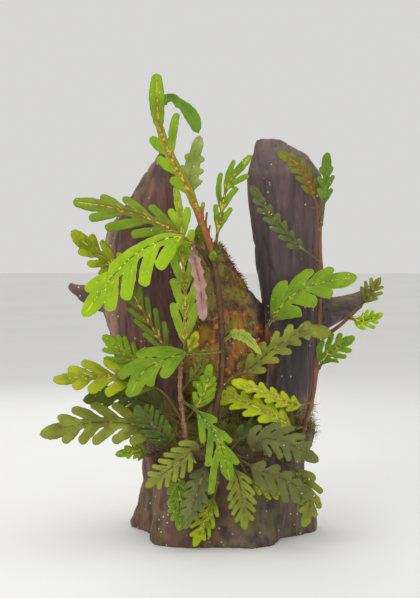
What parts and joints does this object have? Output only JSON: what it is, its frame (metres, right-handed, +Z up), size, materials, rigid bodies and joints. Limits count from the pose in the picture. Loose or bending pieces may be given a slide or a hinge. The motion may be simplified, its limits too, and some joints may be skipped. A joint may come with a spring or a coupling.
{
  "type": "pinnatifid hygrophila on driftwood",
  "caption": "Aquatic plant with deeply lobed green leaves on noded stems, rooted on a dark forked piece of driftwood with a sawn flat foot.",
  "frame": {"origin": "on the sawn foot of the driftwood near its middle, in line with the foot of the main stem", "axes": "+Z up from the foot, +X to the right as the front is seen, +Y away from the front"},
  "size_m": [0.2271, 0.1274, 0.3121],
  "materials": {
    "dark_driftwood": "dark water-worn driftwood, dull",
    "mossy_driftwood": "driftwood under a thin coat of moss and algae, rough",
    "brown_stem": "dark red-brown plant stem, slightly glossy",
    "pink_stem": "reddish pink plant stem, slightly glossy",
    "bright_green_leaf": "bright yellow-green leaf, satin",
    "yellow_green_leaf": "yellow-green leaf, satin",
    "mid_green_leaf": "mid-green leaf, satin",
    "olive_leaf": "shaded olive leaf, satin",
    "pink_leaf_underside": "mauve-pink leaf, satin"
  },
  "bodies": {
    "root": {"driftwood_stump": "dark_driftwood", "driftwood_left_limb": "dark_driftwood", "driftwood_right_limb": "dark_driftwood", "driftwood_mossy_spur": "mossy_driftwood", "main_stem": "brown_stem", "side_shoot": "brown_stem", "left_stem": "pink_stem", "right_stem": "brown_stem", "right_limb_stem": "pink_stem", "right_twig": "pink_stem", "back_stem": "brown_stem", "creeping_rhizome": "brown_stem", "top_leaf": "bright_green_leaf", "top_side_leaf": "olive_leaf", "top_back_leaf": "olive_leaf", "top_right_leaf": "mid_green_leaf", "front_young_leaf": "bright_green_leaf", "bright_left_leaf": "bright_green_leaf", "upper_left_leaf": "mid_green_leaf", "pink_hanging_leaf": "pink_leaf_underside", "left_upright_leaf": "bright_green_leaf", "long_diagonal_leaf": "olive_leaf", "far_left_leaf": "yellow_green_leaf", "left_middle_leaf": "mid_green_leaf", "left_yellow_leaf": "yellow_green_leaf", "left_shaded_leaf": "mid_green_leaf", "drooping_leaf": "bright_green_leaf", "young_sprout_leaf": "yellow_green_leaf", "lower_left_leaf": "bright_green_leaf", "centre_leaf": "bright_green_leaf", "inner_olive_leaf": "olive_leaf", "small_right_leaf": "yellow_green_leaf", "right_dull_leaf": "olive_leaf", "right_yellow_leaf": "yellow_green_leaf", "right_bright_leaf": "yellow_green_leaf", "right_shaded_leaf": "mid_green_leaf", "right_upper_leaf": "mid_green_leaf", "right_lower_leaf": "mid_green_leaf", "limb_top_olive_leaf": "olive_leaf", "limb_top_green_leaf": "bright_green_leaf", "limb_crossing_leaf": "olive_leaf", "far_right_dark_leaf": "mid_green_leaf", "far_right_light_leaf": "bright_green_leaf", "low_far_left_leaf": "olive_leaf", "feathery_leaf": "olive_leaf", "low_small_leaf": "bright_green_leaf", "low_olive_leaf": "olive_leaf", "low_green_leaf": "mid_green_leaf", "low_grey_leaf": "olive_leaf", "low_yellow_leaf": "yellow_green_leaf", "low_front_leaf": "mid_green_leaf", "low_right_leaf": "olive_leaf", "low_right_front_leaf": "olive_leaf", "low_right_yellow_leaf": "yellow_green_leaf", "low_right_back_leaf": "mid_green_leaf", "back_top_leaf": "mid_green_leaf", "back_left_leaf": "bright_green_leaf", "back_right_leaf": "bright_green_leaf", "back_low_left_leaf": "olive_leaf", "back_low_right_leaf": "mid_green_leaf"}
  },
  "joints": []
}
